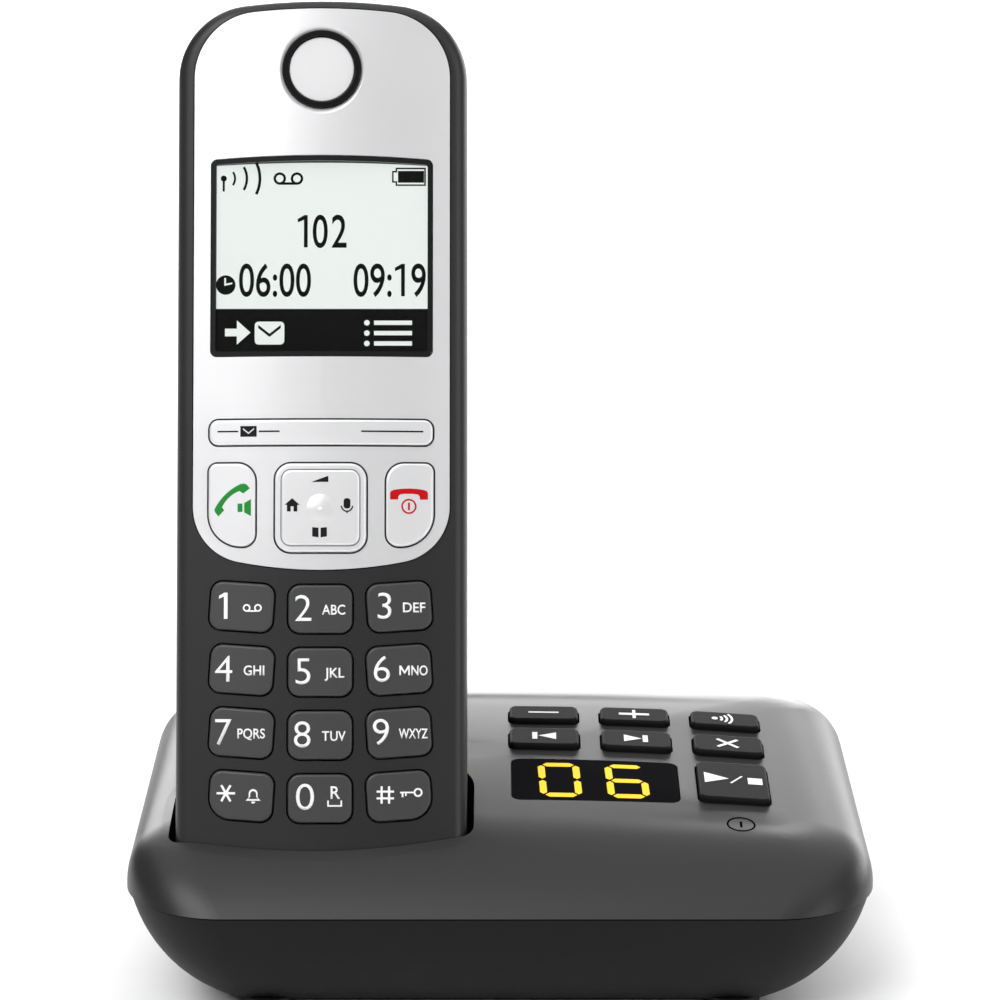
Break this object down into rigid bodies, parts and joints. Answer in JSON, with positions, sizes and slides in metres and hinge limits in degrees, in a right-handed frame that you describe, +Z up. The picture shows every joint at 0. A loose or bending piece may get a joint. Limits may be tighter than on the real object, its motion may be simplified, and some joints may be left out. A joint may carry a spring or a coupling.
{
  "type": "cordless telephone with answering machine base",
  "caption": "Cordless telephone handset standing in the cradle of an answering machine base with message keys, a message counter and a handset display.",
  "frame": {"origin": "centre of the base footprint, at the level of the table under the feet", "axes": "+Z up, -Y towards the user in front of the keys, +X to the user's right"},
  "size_m": [0.126, 0.086, 0.1653],
  "materials": {
    "dark_shell": "charcoal moulded plastic, fine satin texture",
    "black_shell": "near-black moulded plastic",
    "rubber_foot": "moulded rubber",
    "silicone_mat": "grey silicone",
    "screw_steel": "plated steel",
    "board_laminate": "green board laminate",
    "counter_window": "smoked glossy window",
    "lamp_block": "display block",
    "speaker_steel": "pressed steel",
    "contact_gold": "plated spring metal",
    "contact_spring_steel": "spring steel",
    "cell_can": "sleeved rechargeable cell",
    "silver_plate": "satin silver paint",
    "clear_lens": "clear acrylic",
    "lcd_glass": "backlit panel",
    "black_ring": "black gloss trim",
    "silver_key": "satin silver paint",
    "dark_key": "charcoal satin keycap",
    "console_key": "black satin keycap"
  },
  "bodies": {
    "base": {"base_top_housing": "dark_shell", "base_bottom_housing": "black_shell", "base_feet": "rubber_foot", "base_case_screws": "screw_steel", "base_board_screws": "screw_steel", "base_circuit_board": "board_laminate", "base_key_mat": "silicone_mat", "base_display_window": "counter_window", "base_display_module": "lamp_block", "base_loudspeaker": "speaker_steel", "line_socket": "black_shell", "power_socket": "black_shell", "charging_contact_carrier": "black_shell"},
    "handset": {"handset_front_housing": "dark_shell", "handset_rear_housing": "dark_shell", "charging_pads": "contact_gold", "faceplate": "silver_plate", "display_lens": "clear_lens", "earpiece_ring": "black_ring", "earpiece_disc": "silver_plate", "earpiece_speaker": "speaker_steel", "handset_key_mat": "silicone_mat", "handset_circuit_board": "board_laminate", "handset_screws": "screw_steel", "lcd_panel": "lcd_glass", "microphone": "speaker_steel", "battery_cells": "cell_can", "battery_contacts": "contact_spring_steel", "handset_loudspeaker": "speaker_steel"},
    "key_one": {"key_one": "dark_key"},
    "key_two": {"key_two": "dark_key"},
    "key_three": {"key_three": "dark_key"},
    "key_four": {"key_four": "dark_key"},
    "key_five": {"key_five": "dark_key"},
    "key_six": {"key_six": "dark_key"},
    "key_seven": {"key_seven": "dark_key"},
    "key_eight": {"key_eight": "dark_key"},
    "key_nine": {"key_nine": "dark_key"},
    "key_star": {"key_star": "dark_key"},
    "key_zero": {"key_zero": "dark_key"},
    "key_hash": {"key_hash": "dark_key"},
    "talk_key": {"talk_key": "silver_key"},
    "end_key": {"end_key": "silver_key"},
    "soft_key_bar": {"soft_key_bar": "silver_key"},
    "control_key_pivot": {"control_key_pivot": "silicone_mat"},
    "control_key": {"control_key": "silver_key"},
    "key_volume_down": {"key_volume_down": "console_key"},
    "key_volume_up": {"key_volume_up": "console_key"},
    "key_paging": {"key_paging": "console_key"},
    "key_previous": {"key_previous": "console_key"},
    "key_next": {"key_next": "console_key"},
    "key_delete": {"key_delete": "console_key"},
    "key_play_stop": {"key_play_stop": "console_key"},
    "charging_contact_left": {"charging_contact_left": "contact_gold"},
    "charging_contact_right": {"charging_contact_right": "contact_gold"},
    "battery_door": {"battery_door": "dark_shell"}
  },
  "joints": [
    {"name": "handset_lift", "type": "slide", "parent": "base", "child": "handset", "axis": [0, 0.309, 0.9511], "range_m": [0, 0.155]},
    {"name": "key_one_press", "type": "slide", "parent": "handset", "child": "key_one", "axis": [0, 0.9511, -0.309], "range_m": [0, 0.00065], "stiffness_N_per_m": 900},
    {"name": "key_two_press", "type": "slide", "parent": "handset", "child": "key_two", "axis": [0, 0.9511, -0.309], "range_m": [0, 0.00065], "stiffness_N_per_m": 900},
    {"name": "key_three_press", "type": "slide", "parent": "handset", "child": "key_three", "axis": [0, 0.9511, -0.309], "range_m": [0, 0.00065], "stiffness_N_per_m": 900},
    {"name": "key_four_press", "type": "slide", "parent": "handset", "child": "key_four", "axis": [0, 0.9511, -0.309], "range_m": [0, 0.00065], "stiffness_N_per_m": 900},
    {"name": "key_five_press", "type": "slide", "parent": "handset", "child": "key_five", "axis": [0, 0.9511, -0.309], "range_m": [0, 0.00065], "stiffness_N_per_m": 900},
    {"name": "key_six_press", "type": "slide", "parent": "handset", "child": "key_six", "axis": [0, 0.9511, -0.309], "range_m": [0, 0.00065], "stiffness_N_per_m": 900},
    {"name": "key_seven_press", "type": "slide", "parent": "handset", "child": "key_seven", "axis": [0, 0.9511, -0.309], "range_m": [0, 0.00065], "stiffness_N_per_m": 900},
    {"name": "key_eight_press", "type": "slide", "parent": "handset", "child": "key_eight", "axis": [0, 0.9511, -0.309], "range_m": [0, 0.00065], "stiffness_N_per_m": 900},
    {"name": "key_nine_press", "type": "slide", "parent": "handset", "child": "key_nine", "axis": [0, 0.9511, -0.309], "range_m": [0, 0.00065], "stiffness_N_per_m": 900},
    {"name": "key_star_press", "type": "slide", "parent": "handset", "child": "key_star", "axis": [0, 0.9511, -0.309], "range_m": [0, 0.00065], "stiffness_N_per_m": 900},
    {"name": "key_zero_press", "type": "slide", "parent": "handset", "child": "key_zero", "axis": [0, 0.9511, -0.309], "range_m": [0, 0.00065], "stiffness_N_per_m": 900},
    {"name": "key_hash_press", "type": "slide", "parent": "handset", "child": "key_hash", "axis": [0, 0.9511, -0.309], "range_m": [0, 0.00065], "stiffness_N_per_m": 900},
    {"name": "talk_key_press", "type": "slide", "parent": "handset", "child": "talk_key", "axis": [0, 0.9511, -0.309], "range_m": [0, 0.00065], "stiffness_N_per_m": 900},
    {"name": "end_key_press", "type": "slide", "parent": "handset", "child": "end_key", "axis": [0, 0.9511, -0.309], "range_m": [0, 0.00065], "stiffness_N_per_m": 900},
    {"name": "soft_key_rock", "type": "hinge", "parent": "handset", "child": "soft_key_bar", "pos_m": [-0.0301, -0.00937, 0.0957], "axis": [0, 0.309, 0.9511], "range_deg": [-1.5, 1.5], "stiffness_Nm_per_rad": 0.3},
    {"name": "control_key_nod", "type": "hinge", "parent": "handset", "child": "control_key_pivot", "pos_m": [-0.0301, -0.01139, 0.083], "axis": [1, 0, 0], "range_deg": [-2.5, 2.5], "stiffness_Nm_per_rad": 0.3},
    {"name": "control_key_sway", "type": "hinge", "parent": "control_key_pivot", "child": "control_key", "pos_m": [-0.0301, -0.01139, 0.083], "axis": [0, 0.309, 0.9511], "range_deg": [-2.5, 2.5], "stiffness_Nm_per_rad": 0.3},
    {"name": "key_volume_down_press", "type": "slide", "parent": "base", "child": "key_volume_down", "axis": [-0.0153, 0.1108, -0.9937], "range_m": [0, 0.0008], "stiffness_N_per_m": 900},
    {"name": "key_volume_up_press", "type": "slide", "parent": "base", "child": "key_volume_up", "axis": [-0.031, 0.1108, -0.9934], "range_m": [0, 0.0008], "stiffness_N_per_m": 900},
    {"name": "key_paging_press", "type": "slide", "parent": "base", "child": "key_paging", "axis": [-0.0467, 0.1107, -0.9928], "range_m": [0, 0.0008], "stiffness_N_per_m": 900},
    {"name": "key_previous_press", "type": "slide", "parent": "base", "child": "key_previous", "axis": [-0.0153, 0.1108, -0.9937], "range_m": [0, 0.0008], "stiffness_N_per_m": 900},
    {"name": "key_next_press", "type": "slide", "parent": "base", "child": "key_next", "axis": [-0.031, 0.1108, -0.9934], "range_m": [0, 0.0008], "stiffness_N_per_m": 900},
    {"name": "key_delete_press", "type": "slide", "parent": "base", "child": "key_delete", "axis": [-0.0467, 0.1107, -0.9928], "range_m": [0, 0.0008], "stiffness_N_per_m": 900},
    {"name": "key_play_stop_press", "type": "slide", "parent": "base", "child": "key_play_stop", "axis": [-0.0467, 0.1107, -0.9928], "range_m": [0, 0.0008], "stiffness_N_per_m": 900},
    {"name": "charging_contact_left_press", "type": "slide", "parent": "base", "child": "charging_contact_left", "axis": [0, -0.309, -0.9511], "range_m": [0, 0.0005], "stiffness_N_per_m": 600},
    {"name": "charging_contact_right_press", "type": "slide", "parent": "base", "child": "charging_contact_right", "axis": [0, -0.309, -0.9511], "range_m": [0, 0.0005], "stiffness_N_per_m": 600},
    {"name": "battery_door_lift_off", "type": "slide", "parent": "handset", "child": "battery_door", "axis": [0, 0.9511, -0.309], "range_m": [0, 0.015]}
  ]
}
